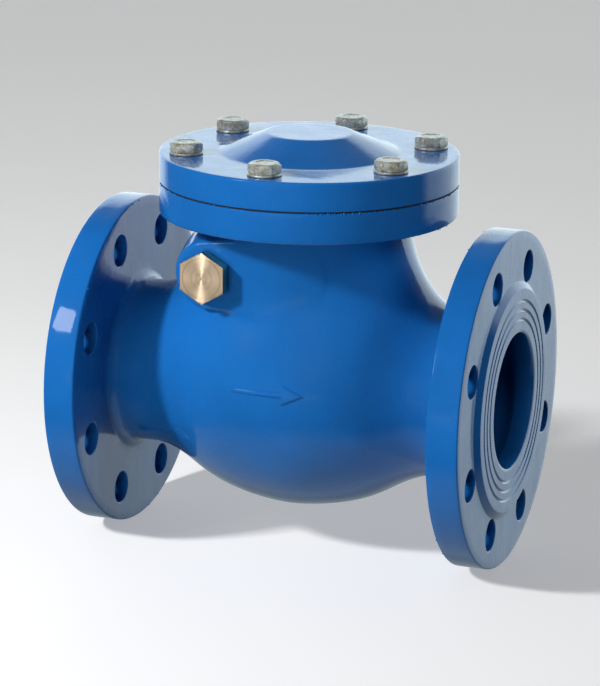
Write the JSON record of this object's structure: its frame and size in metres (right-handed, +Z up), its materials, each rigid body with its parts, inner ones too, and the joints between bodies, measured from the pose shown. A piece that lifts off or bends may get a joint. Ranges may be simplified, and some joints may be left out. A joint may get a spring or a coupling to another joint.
{
  "type": "check valve",
  "caption": "Flanged swing check valve: round-bellied enamelled casting, bolted domed cover, brass hinge plug, and a hinged disc that closes on a seat ring.",
  "frame": {"origin": "on the ground under the middle of the valve, level with the lowest point of the two flanges", "axes": "+X along the pipe in the direction of flow, from the inlet flange to the outlet flange; +Z up through the cover; the hinge plug is on the -Y side"},
  "size_m": [0.26, 0.1996, 0.2496],
  "materials": {
    "blue_enamel": "glossy thick epoxy enamel over cast iron",
    "brass": "turned, satin",
    "zinc_steel": "zinc plated, slightly yellowed",
    "stainless": "machined",
    "gasket_fibre": "matte sheet",
    "seal_rubber": "matte moulded"
  },
  "bodies": {
    "casing": {"valve_body": "blue_enamel", "bonnet_cover": "blue_enamel", "cover_gasket": "gasket_fibre", "seat_ring": "brass", "hinge_bush_front": "brass", "hinge_bush_rear": "brass", "arm_thrust_washer_front": "stainless", "arm_thrust_washer_rear": "stainless", "hinge_pin": "stainless", "hinge_plug_seal": "gasket_fibre", "hinge_plug": "brass", "cover_bolt_1": "zinc_steel", "cover_washer_1": "zinc_steel", "cover_bolt_2": "zinc_steel", "cover_washer_2": "zinc_steel", "cover_bolt_3": "zinc_steel", "cover_washer_3": "zinc_steel", "cover_bolt_4": "zinc_steel", "cover_washer_4": "zinc_steel", "cover_bolt_5": "zinc_steel", "cover_washer_5": "zinc_steel", "cover_bolt_6": "zinc_steel", "cover_washer_6": "zinc_steel"},
    "arm": {"swing_arm": "stainless"},
    "disc_set": {"disc": "stainless", "disc_facing_ring": "seal_rubber", "disc_washer": "stainless", "disc_nut": "stainless", "disc_split_pin": "brass"}
  },
  "joints": [
    {"name": "arm_swing", "type": "hinge", "parent": "casing", "child": "arm", "pos_m": [-0.0395, 0, 0.17279], "axis": [0, -1, 0], "range_deg": [0, 60]},
    {"name": "disc_spin", "type": "hinge", "parent": "arm", "child": "disc_set", "pos_m": [-0.026, 0, 0.09979], "axis": [1, 0, 0], "continuous": true}
  ]
}
